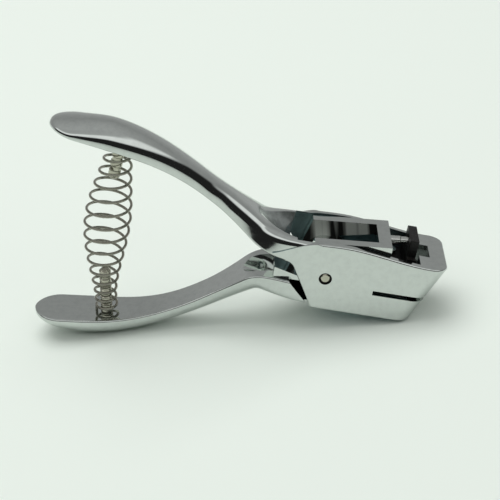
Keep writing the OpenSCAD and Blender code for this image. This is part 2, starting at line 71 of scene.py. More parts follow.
# How far cutters reach past the pieces, to the sides, upwards and anywhere else
BESIDE, ABOVE, FAR = 20 * MM, 40 * MM, 100 * MM
# Place and lean of the rear edges of the cheeks
CHEEK_BACK, CHEEK_LEAN = -10.1 * MM, math.tan(math.radians(27.9))
# Where the palm of a handle is widest and its neck narrowest
PALM_X, NECK_X = -76 * MM, -44 * MM
# Start and end of the underside of the valley behind the window, and its radius, in millimetres
VALLEY = ((-36, 23.4), (-12.6, 6.6), 10.4)
# How far off a wall a face's middle may lie and still be painted with it
NEAR = 0.02 * MM
# Straight pieces in each turn of the wire
TURN_STEPS = 36


def length(label, about, value):
    """A size in metres that a user may change."""
    return bpy.props.FloatProperty(name=label, description=about, default=value, min=0.0,
                                   precision=5, unit="LENGTH", subtype="DISTANCE")


def angle(label, about, degrees):
    """An angle, shown in degrees."""
    return bpy.props.FloatProperty(name=label, description=about, default=math.radians(degrees),
                                   subtype="ANGLE", unit="ROTATION")


def colour(label, about, value):
    """A linear colour."""
    return bpy.props.FloatVectorProperty(name=label, description=about, default=value, size=3,
                                         min=0.0, max=1.0, subtype="COLOR")


class JawSizes(bpy.types.PropertyGroup):
    """The cheeks, the nose and the throat."""
    width: length("Width", "Width over the two cheeks", 0.024)
    cheek: length("Cheek", "Thickness of each cheek", 0.002)
    top: length("Top", "Height of the cheeks above the pivot, at the pivot", 0.0127)
    nose_top: length("Nose top", "Height of the nose above the pivot", 0.0098)
    drop: length("Drop", "Depth of the lower jaw below the pivot", 0.0119)
    reach: length("Reach", "Reach of the nose in front of the pivot", 0.03978)
    lean: angle("Lean", "Lean of the nose off square to the throat", 21.8)
    corner: length("Corner", "Rounding of the nose corners", 0.0045)
    edge: length("Edge", "Rounding of the outer edges", 0.00075)
    throat: length("Throat", "Distance from the pivot to the bottom of the throat", 0.0165)
    throat_height: length("Throat height", "Height of the throat", 0.00165)
    throat_depth: length("Throat depth", "Upper face of the throat below the pivot", 0.0017)
    floor: length("Floor", "Upper face of the upper jaw above the pivot", 0.0008)


class HandleSizes(bpy.types.PropertyGroup):
    """Both handles, from the fork to the tip."""
    palm_width: length("Palm width", "Width at the palm", 0.0173)
    neck_width: length("Neck width", "Width at the neck", 0.0116)
    palm: length("Palm", "Thickness at the palm", 0.0073)
    neck: length("Neck", "Thickness at the neck", 0.0056)
    tip: length("Tip", "Thickness at the tips", 0.0036)
    tip_length: length("Tip length", "Length over which a tip rounds off", 0.0095)
    rim: length("Rim", "Rounding of the rim of the inner face", 0.0007)


class LeverSizes(bpy.types.PropertyGroup):
    """The hub and the windowed arm."""
    hub: length("Hub", "Radius of the hub", 0.017)
    boss: length("Boss", "Radius of the boss round the pivot", 0.008)
    width: length("Width", "Width of the hub between the cheeks", 0.019)
    bar_front: length("Crossbar", "Front of the crossbar in front of the pivot", 0.0198)
    bar: length("Bar", "Length of the crossbar along the jaw", 0.0042)
    top: length("Top", "Top of the arm above the pivot", 0.0121)
    slope: angle("Slope", "Upward slope of the arm", 5.4)
    window: length("Window", "Width of the window", 0.0124)
    heel: angle("Heel", "Forward lean of the faces on either side of the heel gap", 14)
    window_boss: length("Window boss", "Radius of the boss inside the window", 0.0064)
    back: length("Back", "Distance from the pivot to the back face of the hub", 0.0083)
    neck: length("Neck", "Distance from the pivot to the front face of the neck", 0.0142)


class SpringSizes(bpy.types.PropertyGroup):
    """The barrel-shaped handle spring."""
    wire: length("Wire", "Diameter of the wire", 0.00095)
    fullest: length("Fullest", "Diameter over the fullest coil", 0.016)
    upper: length("Upper", "Diameter over the upper end", 0.0096)
    lower: length("Lower", "Diameter over the lower end", 0.008)
    bow: length("Bow", "Bow away from the pivot at the middle", 0.0023)
    upper_seat: length("Upper seat", "Distance of the upper stud from the tip", 0.0236)
    lower_seat: length("Lower seat", "Distance of the lower stud from the tip", 0.0242)
    turns: bpy.props.IntProperty(name="Turns", description="Turns of the wire", default=14, min=4)


class Finishes(bpy.types.PropertyGroup):
    """Colours of the metals and of the floor."""
    plating: colour("Plating", "Bright plating on the castings", (0.595, 0.625, 0.605))
    # Dull plating: rougher plating between the cheeks, whose darker teal colour is also painted
    # shade
    dull_and_shade: colour("Dull plating", "Unpolished plating between the cheeks", (0.26, 0.36, 0.37))
    nickel: colour("Nickel", "Plated rivet and studs", (0.47, 0.46, 0.38))
    wire: colour("Wire", "Plated wire of the spring", (0.34, 0.33, 0.28))
    steel: colour("Steel", "Ground steel pins and screws", (0.56, 0.57, 0.55))
    black: colour("Black", "Black oxide of the punch", (0.004, 0.004, 0.004))
    brown: colour("Brown", "Brown bloom on the black oxide", (0.009, 0.007, 0.006))
    valley: colour("Valley", "Rough plating in the valley of the neck", (0.4, 0.43, 0.42))
    # Painted reflections: dark streaks in this colour, and the wall colour between them, on the
    # window walls
    dark_reflection: colour("Dark reflection", "Dark streaks on the walls of the window", (0.01, 0.01, 0.008))
    wall: colour("Wall", "Walls of the window between the streaks", (0.66, 0.69, 0.64))
    # Painted shade: the ring round the rivet is painted near black
    grime: colour("Grime", "Grime in the ring round the rivet", (0.03, 0.03, 0.028))
    floor: colour("Floor", "The pale floor", (0.86, 0.925, 0.86))


GROUPS = {"punch_jaw": JawSizes, "punch_handles": HandleSizes, "punch_lever": LeverSizes,
          "punch_spring": SpringSizes, "punch_finishes": Finishes}


def sizes(name):
    """The property group of that name on the scene."""
    return getattr(bpy.context.scene, "punch_" + name)


# Curves and sections


def lerp(a, b, t):
    return a + (b - a) * t


def smooth(t):
    t = min(1.0, max(0.0, t))
    return t * t * (3 - 2 * t)


def ramp(x, start, run, power=1.0):
    """Rises from 0 to 1 over run from start, both in millimetres."""
    return min(1.0, max(0.0, (x - start * MM) / (run * MM))) ** power


def toward(origin, degrees, reach):
    """The point at that angle and distance, in millimetres, from origin in side view."""
    a = math.radians(degrees)
    return origin + Vector((math.cos(a), math.sin(a))) * reach * MM


def cubic(points, t):
    u = 1 - t
    return (points[0] * u ** 3 + points[1] * 3 * u * u * t + points[2] * 3 * u * t * t
            + points[3] * t ** 3)


class HandleShape:
    """One handle: its curves run along the flat inner face, from inside the fork to the tip.

    Points and lengths are given in millimetres. The fork's curve starts level: fork is the length
    of its first arm, then the angle and length of its second. sweep is the angle and length of
    both arms of the long curve. side is 1 for the upper handle and -1 for the lower, and flare is
    where its width grows from the neck's to the jaw's.
    """

    def __init__(self, start, root, tip, fork, sweep, side, flare, root_thickness):
        start, root, tip = (Vector(p) * MM for p in (start, root, tip))
        self.fork = [start, toward(start, 180, fork[0]), toward(root, fork[1], fork[2]), root]
        self.long = [root, toward(root, sweep[0], sweep[1]), toward(tip, sweep[2], sweep[3]), tip]
        self.side = side
        self.flare = [x * MM for x in flare]
        self.root_thickness = root_thickness * MM

    def half_width(self, x):
        s, within_jaw = sizes("handles"), 0.1 * MM
        if x < NECK_X:
            return lerp(s.palm_width, s.neck_width, smooth((x - PALM_X) / (NECK_X - PALM_X))) / 2
        t = smooth((x - self.flare[0]) / (self.flare[1] - self.flare[0]))
        return lerp(s.neck_width, sizes("jaw").width - within_jaw, t) / 2

    def thickness(self, x):
        s, taper, swell = sizes("handles"), 20 * MM, 28 * MM
        if x < PALM_X:
            return lerp(s.tip, s.palm, smooth((x - PALM_X) / taper + 1))
        if x < NECK_X:
            return lerp(s.palm, s.neck, smooth((x - PALM_X) / (NECK_X - PALM_X)))
        return lerp(s.neck, self.root_thickness, smooth((x - NECK_X) / swell))

    def squareness(self, x):
        """The power of the dome's curve: an oval up to the neck, nearly square at the root."""
        oval, square = 2.2, 14
        squared = ramp(x, -46, 36, 1.7) if self.side > 0 else ramp(x, -34, 30, 2.5)
        return lerp(oval, square, squared)

    def stations(self):
        """Pairs of a point on the curve and the share of the section left there by the round tip."""
        fork_steps, long_steps, tip_steps, last_angle = 22, 84, 16, 4
        reach = sizes("handles").tip_length / (self.long[3] - self.long[2]).length / 3
        made = [(cubic(self.fork, i / fork_steps), 1.0) for i in range(fork_steps)]
        made += [(cubic(self.long, i / long_steps * (1 - reach)), 1.0)
                 for i in range(long_steps + 1)]
        for i in range(1, tip_steps):
            a = math.radians(lerp(90, last_angle, i / (tip_steps - 1)))
            made.append((cubic(self.long, 1 - reach * (1 - math.cos(a))), math.sin(a)))
        return made

    def section(self, x, left):
        """The cross section at x: a flat inner face, round rims and a domed back."""
        rim_steps, dome_steps = 6, 44
        # Share of the half width from which the lean is full, and how blunt the tip is
        fade, blunt = 0.6, 0.7
        w = self.half_width(x) * left
        t = self.thickness(x) * left ** blunt
        e = self.squareness(x)
        k = min(sizes("handles").rim, w / 3, t / 3)
        points = []
        for i in range(rim_steps + 1):
            a = math.radians(90 * i / rim_steps)
            points.append((w - k + k * math.sin(a), k - k * math.cos(a)))
        rim = [(-y, h) for y, h in reversed(points)]
        for i in range(1, dome_steps):
            a = math.pi * i / dome_steps
            c, n = math.cos(a), math.sin(a)
            y, h = w * math.copysign(abs(c) ** (2 / e), c), k + (t - k) * n ** (2 / e)
            inward = self.flank(x, h) * min(1.0, abs(y) / w / fade)
            points.append((y - inward * math.copysign(1, y), h))
        return points + rim

    def flank(self, x, height):
        """How far a flank leans in at that height, from the crease of the cheek upwards."""
        if self.side < 0:
            return 0.0
        at_neck, behind_cheek, on_cheek = 0.5, 2.2, 7.0
        least, most = 12, 16
        crease = lerp(at_neck, behind_cheek, smooth(ramp(x, -48, 16)))
        crease = lerp(crease, on_cheek, ramp(x, -22, 17, 1.7)) * MM
        lean = lerp(least, most, smooth(ramp(x, -28, 14))) * smooth(ramp(x, -52, 24))
        return math.tan(math.radians(lean)) * max(0.0, height - crease)

    def seat(self, x):
        """Where on the long curve its inner face passes x."""
        low, high = 0.0, 1.0
        for _ in range(30):
            middle = (low + high) / 2
            if cubic(self.long, middle).x > x:
                low = middle
            else:
                high = middle
        return low

    def rings(self):
        """The cross sections in place, square to the curve."""
        stations = self.stations()
        made = []
        for i, (p, left) in enumerate(stations):
            before = stations[max(i - 1, 0)][0]
            after = stations[min(i + 1, len(stations) - 1)][0]
            d = (after - before).normalized()
            n = Vector((d.y, -d.x)) * self.side
            made.append([(p.x + n.x * h, self.side * y, p.y + n.y * h)
                         for y, h in self.section(p.x, left)])
        return made


def upper_handle_shape():
    return HandleShape(start=(-4, 4.3), root=(-27.1, 8.7), tip=(-97, 34.6), fork=(12, -36, 7),
                       sweep=(144.3, 41, -9.7, 26.6), side=1, flare=(-40, -13), root_thickness=7.7)


def lower_handle_shape():
    return HandleShape(start=(-3, -3.6), root=(-25.8, -7.4), tip=(-93.5, -35.4), fork=(12, 43, 6.6),
                       sweep=(223.4, 38.4, 8.7, 27), side=-1, flare=(-38, -7), root_thickness=7.3)


def cheek_top(x):
    """Height of the top edge of a cheek."""
    s, crest, fall, sag = sizes("jaw"), 4 * MM, 16 * MM, 0.6 * MM
    if x > crest:
        return lerp(s.top, s.nose_top, smooth((x - crest) / (s.reach - 10 * MM)))
    return lerp(s.top, s.top - sag, smooth((crest - x) / fall))


def arm_top(x):
    """Height of the top of the lever's arm."""
    s = sizes("lever")
    return s.top + x * math.tan(s.slope)


def blade_x():
    """Middle of the blade, in front of the pivot."""
    return sizes("jaw").throat + 10.9 * MM


def well_x():
    """Front of the room between the cheeks, in front of the pivot."""
    return blade_x() + 2.8 * MM


def leaning(x, z):
    """A point given along and across the leaning faces of the heel gap."""
    a = sizes("lever").heel
    return (x * math.cos(a) + z * math.sin(a), -x * math.sin(a) + z * math.cos(a))


def arc(centre, radius, start, end, steps):
    """Points of an arc in side view, angles in degrees."""
    made = []
    for i in range(steps + 1):
        a = math.radians(lerp(start, end, i / steps))
        made.append((centre[0] + radius * math.cos(a), centre[1] + radius * math.sin(a)))
    return made


# Modelling by hand, as functions


def deselect():
    """Leaves object mode with nothing selected."""
    if bpy.context.mode != "OBJECT":
        bpy.ops.object.mode_set(mode="OBJECT")
    bpy.ops.object.select_all(action="DESELECT")


def take(piece):
    """Makes the piece active and the only one selected."""
    deselect()
    piece.select_set(True)
    bpy.context.view_layer.objects.active = piece


def added(name):
    """Names the primitive that was just added."""
    piece = bpy.context.object
    piece.name = name
    piece.data.name = name
    return piece


def corners_to(points):
    """Moves the corners of the one selected face to points."""
    mesh = bpy.context.object.data
    shape = bmesh.from_edit_mesh(mesh)
    face = next(f for f in shape.faces if f.select)
    for loop, point in zip(face.loops, points):
        loop.vert.co = point
    bmesh.update_edit_mesh(mesh)


def outward():
    """Turns all faces of the piece in edit mode outwards."""
    bpy.ops.mesh.select_all(action="SELECT")
    bpy.ops.mesh.normals_make_consistent(inside=False)


def loft(name, rings):
    """A body extruded from ring to ring, each with as many corners."""
    deselect()
    bpy.ops.mesh.primitive_circle_add(vertices=len(rings[0]), radius=MM, fill_type="NGON")
    piece = added(name)
    bpy.ops.object.mode_set(mode="EDIT")
    bpy.ops.mesh.select_mode(type="FACE")
    bpy.ops.mesh.select_all(action="SELECT")
    corners_to(rings[0])
    for ring in rings[1:]:
        bpy.ops.mesh.extrude_region_move()
        corners_to(ring)
    outward()
    deselect()
    return piece


def profile(name, outline, width):
    """A side-view outline given the width, half to each side."""
    return loft(name, [[(x, -width / 2, z) for x, z in outline],
                       [(x, width / 2, z) for x, z in outline]])


def block(name, x, half_width, z):
    """A box from x[0] to x[1] and from z[0] to z[1], as wide on both sides."""
    deselect()
    low, high = Vector((x[0], -half_width, z[0])), Vector((x[1], half_width, z[1]))
    bpy.ops.mesh.primitive_cube_add(size=1, location=(low + high) / 2, scale=high - low)
    piece = added(name)
    bpy.ops.object.transform_apply(location=True, rotation=True, scale=True)
    return piece


def rod(name, radius, start, end, sides):
    """A round bar from one point to another."""
    deselect()
    start, end = Vector(start), Vector(end)
    run = end - start
    bpy.ops.mesh.primitive_cylinder_add(vertices=sides, radius=radius, depth=run.length,
                                        location=(start + end) / 2,
                                        rotation=run.to_track_quat("Z", "Y").to_euler())
    piece = added(name)
    bpy.ops.object.transform_apply(location=True, rotation=True, scale=True)
    return piece


def axle(name, radius, half_width, sides):
    """A round bar across the tool, on the pivot."""
    return rod(name, radius, (0, -half_width, 0), (0, half_width, 0), sides)


def modify(piece, kind, **settings):
    """Adds a modifier and applies it."""
    take(piece)
    modifier = piece.modifiers.new(kind.lower(), kind)
    for key, value in settings.items():
        setattr(modifier, key, value)
    bpy.ops.object.modifier_apply(modifier=modifier.name)
    return piece


def combine(piece, tool, operation="DIFFERENCE"):
    """Cuts the tool from the piece, or joins it on, and deletes the tool."""
    modify(piece, "BOOLEAN", object=tool, operation=operation, solver="EXACT")
    bpy.data.objects.remove(tool)
    return piece


def bevel_where(piece, chosen, width, segments):
    """Rounds the edges that the test chooses."""
    take(piece)
    bpy.ops.object.mode_set(mode="EDIT")
    bpy.ops.mesh.select_mode(type="EDGE")
    bpy.ops.mesh.select_all(action="DESELECT")
    shape = bmesh.from_edit_mesh(piece.data)
    for edge in shape.edges:
        if edge.is_manifold and chosen(edge):
            edge.select = True
    shape.select_flush_mode()
    bmesh.update_edit_mesh(piece.data)
    bpy.ops.mesh.bevel(offset=width, segments=segments, profile=0.5, affect="EDGES",
                       clamp_overlap=False)
    deselect()
    return piece


def stand(piece):
    """Tilts a piece drawn in the jaw's frame to the floor."""
    piece.data.transform(STAND)
    piece.data.update()
    return piece


def traced(node, name, width):
    """A copy of a CAD node with its edges rounded."""
    deselect()
    piece = bpy.data.objects.new(name, frame["nodes"][node].data.copy())
    piece.data.materials.clear()
    bpy.context.scene.collection.objects.link(piece)
    take(piece)
    bpy.ops.object.mode_set(mode="EDIT")
    bpy.ops.mesh.select_all(action="SELECT")
    bpy.ops.mesh.remove_doubles(threshold=1e-6)
    bpy.ops.mesh.dissolve_limited(angle_limit=math.radians(0.5))
    return modify(piece, "BEVEL", width=width, segments=2, limit_method="ANGLE",
                  angle_limit=math.radians(30), use_clamp_overlap=True)


def finish(piece, body, slot, material, *nodes, crease=28):
    """Shades the piece, gives it its finish and sets it on its body, in place of the CAD nodes."""
    take(piece)
    bpy.ops.object.shade_smooth_by_angle(angle=math.radians(crease))
    modify(piece, "WEIGHTED_NORMAL", keep_sharp=True, weight=80)
    piece.data.materials.clear()
    piece.data.materials.append(material)
    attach(piece, body)
    if nodes:
        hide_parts(*nodes)
    return piece


def paint_where(piece, material, chosen):
    """Gives the faces that the test chooses, by place and normal in the jaw's frame, a material."""
    piece.data.materials.append(material)
    index = len(piece.data.materials) - 1
    back = STAND.inverted()
    for face in piece.data.polygons:
        if chosen(back @ face.center, back.to_3x3() @ face.normal):
            face.material_index = index


def on_wall(p, n, y):
    """Whether a face lies in one of the two upright walls that far from the middle."""
    return abs(n.y) > 0.99 and abs(abs(p.y) - y) < NEAR


# Materials


def new_material(name):
    """A new material, its nodes and its Principled BSDF."""
    material = bpy.data.materials.new(name)
    material.use_nodes = True
    tree = material.node_tree
    return material, tree, tree.nodes["Principled BSDF"]


def add_node(tree, kind, **values):
    """Adds a node; a value named in0, in1 and so on sets that input, others set properties."""
    node = tree.nodes.new(kind)
    for key, value in values.items():
        if key.startswith("in") and key[2:].isdigit():
            node.inputs[int(key[2:])].default_value = value
        else:
            setattr(node, key, value)
    return node


def cast_surface_group():
    """Slow waviness and fine grain of a polished casting, with faint stains."""
    found = bpy.data.node_groups.get("Polished casting")
    if found:
        return found
    tree = bpy.data.node_groups.new("Polished casting", "ShaderNodeTree")
    for label, kind, way in (("Vector", "Vector", "INPUT"), ("Waves", "Float", "INPUT"),
                             ("Grain", "Float", "INPUT"), ("Height", "Float", "OUTPUT"),
                             ("Stain", "Float", "OUTPUT")):
        tree.interface.new_socket(name=label, socket_type="NodeSocket" + kind, in_out=way)
    group_in = tree.nodes.new("NodeGroupInput")
    group_out = tree.nodes.new("NodeGroupOutput")
    waves = add_node(tree, "ShaderNodeTexNoise", in2=150.0, in3=1.5)
    grain = add_node(tree, "ShaderNodeTexNoise", in2=2600.0, in3=3.0)
    stain = add_node(tree, "ShaderNodeTexNoise", in2=420.0, in3=6.0, in4=0.62)
    spread = add_node(tree, "ShaderNodeMapRange", in1=0.42, in2=0.75)
    for texture in (waves, grain, stain):
        tree.links.new(group_in.outputs["Vector"], texture.inputs["Vector"])
    total = add_node(tree, "ShaderNodeMath", operation="ADD")
    for i, (texture, amount) in enumerate(((waves, "Waves"), (grain, "Grain"))):
        share = add_node(tree, "ShaderNodeMath", operation="MULTIPLY")
        tree.links.new(texture.outputs[0], share.inputs[0])
        tree.links.new(group_in.outputs[amount], share.inputs[1])
        tree.links.new(share.outputs[0], total.inputs[i])
    tree.links.new(total.outputs[0], group_out.inputs["Height"])
    tree.links.new(stain.outputs[0], spread.inputs[0])
    tree.links.new(spread.outputs[0], group_out.inputs["Stain"])
    return tree


def metal(name, base, low, high, waves=0.5, grain=0.1, bump=0.02, dark=0.9):
    """The metal of that name, whose roughness runs from low to high with the stains on it."""
    known = bpy.data.materials.get(name)
    if known:
        return known
    material, tree, shader = new_material(name)
    where = tree.nodes.new("ShaderNodeTexCoord")
    surface = add_node(tree, "ShaderNodeGroup", node_tree=cast_surface_group())
    surface.inputs["Waves"].default_value = waves
    surface.inputs["Grain"].default_value = grain
    tree.links.new(where.outputs["Object"], surface.inputs["Vector"])
    rough = add_node(tree, "ShaderNodeMapRange", in3=low, in4=high)
    tree.links.new(surface.outputs["Stain"], rough.inputs[0])
    tree.links.new(rough.outputs[0], shader.inputs["Roughness"])
    tint = add_node(tree, "ShaderNodeMix", data_type="RGBA")
    tint.inputs[6].default_value = (*base, 1)
    tint.inputs[7].default_value = (*[c * dark for c in base], 1)
    tree.links.new(surface.outputs["Stain"], tint.inputs[0])
    tree.links.new(tint.outputs[2], shader.inputs["Base Color"])
    relief = add_node(tree, "ShaderNodeBump", in0=bump, in1=0.0004)
    tree.links.new(surface.outputs["Height"], relief.inputs["Height"])
    tree.links.new(relief.outputs[0], shader.inputs["Normal"])
    shader.inputs["Metallic"].default_value = 1.0
    return material


def plating():
    return metal("bright_plating", sizes("finishes").plating, 0.05, 0.11, bump=0.03)


# Rougher plating between the cheeks, darkened as painted shade
def dull_plating_and_shade():
    return metal("dull_plating_and_shade", sizes("finishes").dull_and_shade, 0.36, 0.5, grain=0.6, bump=0.15, dark=0.8)


def valley_plating():
    return metal("valley_plating", sizes("finishes").valley, 0.28, 0.42, waves=1.0, grain=0.8,
                 bump=0.3, dark=0.5)


# Near black and rough: painted shade in the ring round the rivet
def rivet_grime():
    return metal("rivet_grime", sizes("finishes").grime, 0.5, 0.7, grain=0.6, bump=0.15)


def nickel():
    return metal("nickel_plate", sizes("finishes").nickel, 0.14, 0.26, waves=0.2, grain=0.3,
                 bump=0.1)


def wire_plate():
    return metal("wire_plate", sizes("finishes").wire, 0.1, 0.2, waves=0.1, grain=0.2, bump=0.03,
                 dark=0.7)


def steel():
    return metal("ground_steel", sizes("finishes").steel, 0.18, 0.32, waves=0.1, grain=0.5,
                 bump=0.15)


def window_painted_reflections():
    """The walls of the lever's window, with painted reflections in upright light and dark streaks.
    """
    known = bpy.data.materials.get("window_painted_reflections")
    if known:
        return known
    s = sizes("finishes")
    material, tree, shader = new_material("window_painted_reflections")
    where = tree.nodes.new("ShaderNodeTexCoord")
    stretch = tree.nodes.new("ShaderNodeMapping")
    stretch.inputs["Scale"].default_value = (1, 0.1, 0.05)
    tree.links.new(where.outputs["Object"], stretch.inputs["Vector"])
    streaks = add_node(tree, "ShaderNodeTexNoise", in2=300.0, in3=2.0)
    tree.links.new(stretch.outputs[0], streaks.inputs["Vector"])
    spread = add_node(tree, "ShaderNodeMapRange", in1=0.42, in2=0.6)
    tree.links.new(streaks.outputs[0], spread.inputs[0])
    tint = add_node(tree, "ShaderNodeMix", data_type="RGBA")
    tint.inputs[6].default_value = (*s.dark_reflection, 1)
    tint.inputs[7].default_value = (*s.wall, 1)
    tree.links.new(spread.outputs[0], tint.inputs[0])
    tree.links.new(tint.outputs[2], shader.inputs["Base Color"])
    shader.inputs["Metallic"].default_value = 0.5
    shader.inputs["Roughness"].default_value = 0.5
    return material


def black_oxide():
    """Matt black with a faint brown bloom."""
    known = bpy.data.materials.get("black_oxide_finish")
    if known:
        return known
    s = sizes("finishes")
    material, tree, shader = new_material("black_oxide_finish")
    where = tree.nodes.new("ShaderNodeTexCoord")
    spots = add_node(tree, "ShaderNodeTexNoise", in2=900.0, in3=6.0, in4=0.7)
    bloom = add_node(tree, "ShaderNodeMapRange", in1=0.45, in2=0.7)
    tint = add_node(tree, "ShaderNodeMix", data_type="RGBA")
    tint.inputs[6].default_value = (*s.black, 1)
    tint.inputs[7].default_value = (*s.brown, 1)
    rough = add_node(tree, "ShaderNodeMapRange", in3=0.35, in4=0.62)
    relief = add_node(tree, "ShaderNodeBump", in0=0.35, in1=0.0003)
    tree.links.new(where.outputs["Object"], spots.inputs["Vector"])
    tree.links.new(spots.outputs[0], bloom.inputs[0])
    tree.links.new(bloom.outputs[0], tint.inputs[0])
    tree.links.new(tint.outputs[2], shader.inputs["Base Color"])
    tree.links.new(bloom.outputs[0], rough.inputs[0])
    tree.links.new(rough.outputs[0], shader.inputs["Roughness"])
    tree.links.new(spots.outputs[0], relief.inputs["Height"])
    tree.links.new(relief.outputs[0], shader.inputs["Normal"])
    shader.inputs["Specular IOR Level"].default_value = 0.25
    return material


def pale_floor():
    """A pale floor that keeps the shadow."""
    material, _, shader = new_material("pale_floor")
    shader.inputs["Base Color"].default_value = (*sizes("finishes").floor, 1)
    shader.inputs["Roughness"].default_value = 0.6
    shader.inputs["Specular IOR Level"].default_value = 0.2
    return material


# The jaw


def jaw_outline():
    """Side view of the jaw: top edge, front, underside, rear edge and the crease of the neck."""
    s = sizes("jaw")
    top_steps, crease_steps = 40, 24
    top_end, past = s.reach - 6 * MM, s.reach + MM
    foot_r, heel_r = 1.4 * MM, 4 * MM
    foot_x = CHEEK_BACK + s.drop * CHEEK_LEAN
    outline = [(x, cheek_top(x)) for x in
               (lerp(-4 * MM, top_end, i / top_steps) for i in range(top_steps + 1))]
    outline += [(past, s.nose_top), (past, -s.drop)]
    outline += arc((foot_x + 1.75 * MM, -s.drop + foot_r), foot_r, 270, 208, 8)
    outline += arc((CHEEK_BACK - 4.4 * MM, 0.2 * MM), heel_r, 28, 90, 12)
    outline += [(-16.5 * MM, 5.4 * MM), (-19 * MM, 6.4 * MM)]
    crease = [Vector(p) * MM for p in ((-19, 6.6), (-15.5, 7.4), (-10.5, 11.5), (-4, 12.4))]
    outline += [tuple(cubic(crease, i / crease_steps)) for i in range(crease_steps - 1)]
    return outline


def room_outline():
    """Side view of the room for the lever, with the leaning front face of the neck behind it."""
    lever, floor = sizes("lever"), sizes("jaw").floor
    gap, under = 0.4 * MM, 3.8 * MM
    boss, hub = lever.boss + gap, lever.hub + gap
    low = -math.degrees(math.acos(gap / boss))
    high = math.degrees(math.asin(floor / boss))
    face_top = leaning(-lever.neck, math.sqrt(hub ** 2 - lever.neck ** 2))
    face_foot = (-lever.neck + under * math.sin(lever.heel)) / math.cos(lever.heel)
    top = math.degrees(math.atan2(face_top[1], face_top[0]))
    side = math.degrees(math.acos(-lever.boss / hub))
    return (arc((0, 0), boss, low, high, 40)
            + [(well_x(), floor), (well_x(), ABOVE), (-lever.boss, ABOVE)]
            + arc((0, 0), hub, side, top, 8) + [(face_foot, under)]
            + arc((0, 0), hub, 180 - math.degrees(math.asin(under / hub)),
                  270 + math.degrees(math.asin(gap / hub)), 80))


def nose_tool():
    """What the leaning, rounded front leaves of the jaw: a plan outline drawn up along the lean."""
    s = sizes("jaw")
    half = s.width / 2
    side, far = half + MM, 50 * MM
    front = s.reach * math.cos(s.lean) - s.nose_top * math.sin(s.lean) - s.corner
    plan = [(-far, -side), (front, -side)]
    for y, start in ((-1, -90), (1, 0)):
        plan += arc((front, y * (half - s.corner)), s.corner, start, start + 90, 16)
    plan += [(front, side), (-far, side)]
    piece = loft("nose_limit", [[(x, y, z) for x, y in plan] for z in (-far, far)])
    piece.data.transform(Matrix.Rotation(s.lean, 4, "Y"))
    return piece


def outer_edge(edge):
    """Whether an edge of the jaw is rounded: all the sharp ones but those of the crease."""
    at_crease = all(v.co.x < -3.9 * MM and v.co.z > 5 * MM for v in edge.verts)
    return edge.calc_face_angle() > math.radians(40) and not at_crease


class PUNCH_OT_jaw(bpy.types.Operator):
    """Model the two cheeks, the nose and the jaw with its throat"""
    bl_idname = "punch.jaw"
    bl_label = "Jaw"

    def execute(self, context):
        s = sizes("jaw")
        half, inner, well = s.width / 2, s.width - 2 * s.cheek, well_x()
        blade, blade_half = 1.7 * MM, 7.7 * MM
        notch, notch_half, notch_floor = 3.7 * MM, 3.9 * MM, 4.6 * MM
        rivet, recess, sunk = 1.67 * MM, 2.2 * MM, 0.6 * MM
        piece = profile("jaw", jaw_outline(), s.width)
        combine(piece, nose_tool(), "INTERSECT")
        bevel_where(piece, outer_edge, s.edge, 6)
        combine(piece, profile("room", room_outline(), inner))
        combine(piece, block("throat", (s.throat, FAR), BESIDE,
                             (-s.throat_depth - s.throat_height, -s.throat_depth)))
        combine(piece, block("notch", (well - MM, well + notch), notch_half, (notch_floor, FAR)))
        combine(piece, block("blade_way", (blade_x() - blade, blade_x() + blade), blade_half,
                             (-FAR, FAR)))
        combine(piece, axle("rivet_way", rivet, FAR, 64))
        for side in (-1, 1):
            combine(piece, rod("recess", recess, (0, side * (half - sunk), 0),
                               (0, side * BESIDE, 0), 64))
        combine(piece, valley_tool())
        finish(stand(piece), "frame", "plated_casting", plating())
        # Painted shade: the faces between the cheeks, behind the well, get the darker plating
        paint_where(piece, dull_plating_and_shade(), lambda p, n: (
            abs(p.y) < inner / 2 + NEAR and p.x < well + NEAR
            and (abs(n.y) > 0.99 or p.z < cheek_top(p.x) - 0.5 * MM)))
        # Painted shade in the ring of the recess round the rivet
        paint_where(piece, rivet_grime(), lambda p, n: (
            math.hypot(p.x, p.z) < recess + NEAR and inner / 2 < abs(p.y) < half - 0.01 * MM))
        return {"FINISHED"}


# The handles


def groove_axis(start, end, radius):
    """The axis of a round groove whose underside runs from start to end: two points and its way."""
    start, end = Vector(start) * MM, Vector(end) * MM
    way = (end - start).normalized()
    centre = start + Vector((-way.y, way.x)) * radius * MM
    return centre, centre + (end - start), way


def groove_tool(name, start, end, radius, sides):
    """A round cutter whose underside runs from start to end in side view."""
    near, far, _ = groove_axis(start, end, radius)
    return rod(name, radius * MM, (near.x, 0, near.y), (far.x, 0, far.y), sides)


def valley_tool():
    """The cutter that runs down between the rims of the neck."""
    return groove_tool("valley", *VALLEY, 192)


def in_valley(p, n):
    """Whether a face of the neck belongs to the valley."""
    near, _, way = groove_axis(*VALLEY)
    off = (p.z - near.y) * way.x - (p.x - near.x) * way.y
    return abs(math.hypot(off, p.y) - VALLEY[2] * MM) < 0.05 * MM and n.z > 0


def pocket_tool():
    """The cutter of the pocket in the lower handle, beside the hub."""
    return groove_tool("pocket", (-27.5, -7.6), (-9, -10.1), 5.6, 96)


def clear_of_cheeks(piece):
    """Cuts the shoulders of the lever back from the edges of the cheeks, down to their foot."""
    half = sizes("lever").width / 2
    foot, far, rear = -9.6 * MM, 60 * MM, CHEEK_BACK - 0.25 * MM
    lean = math.tan(math.radians(46))
    foot_x = rear - foot * CHEEK_LEAN
    outline = [(foot_x, foot), (foot_x - far * lean, foot + far), (far, far), (far, -far),
               (rear + far * CHEEK_LEAN, -far)]
    for side in (-1, 1):
        combine(piece, loft("clearance", [[(x, side * y, z) for x, z in outline]
                                          for y in (half, BESIDE)]))


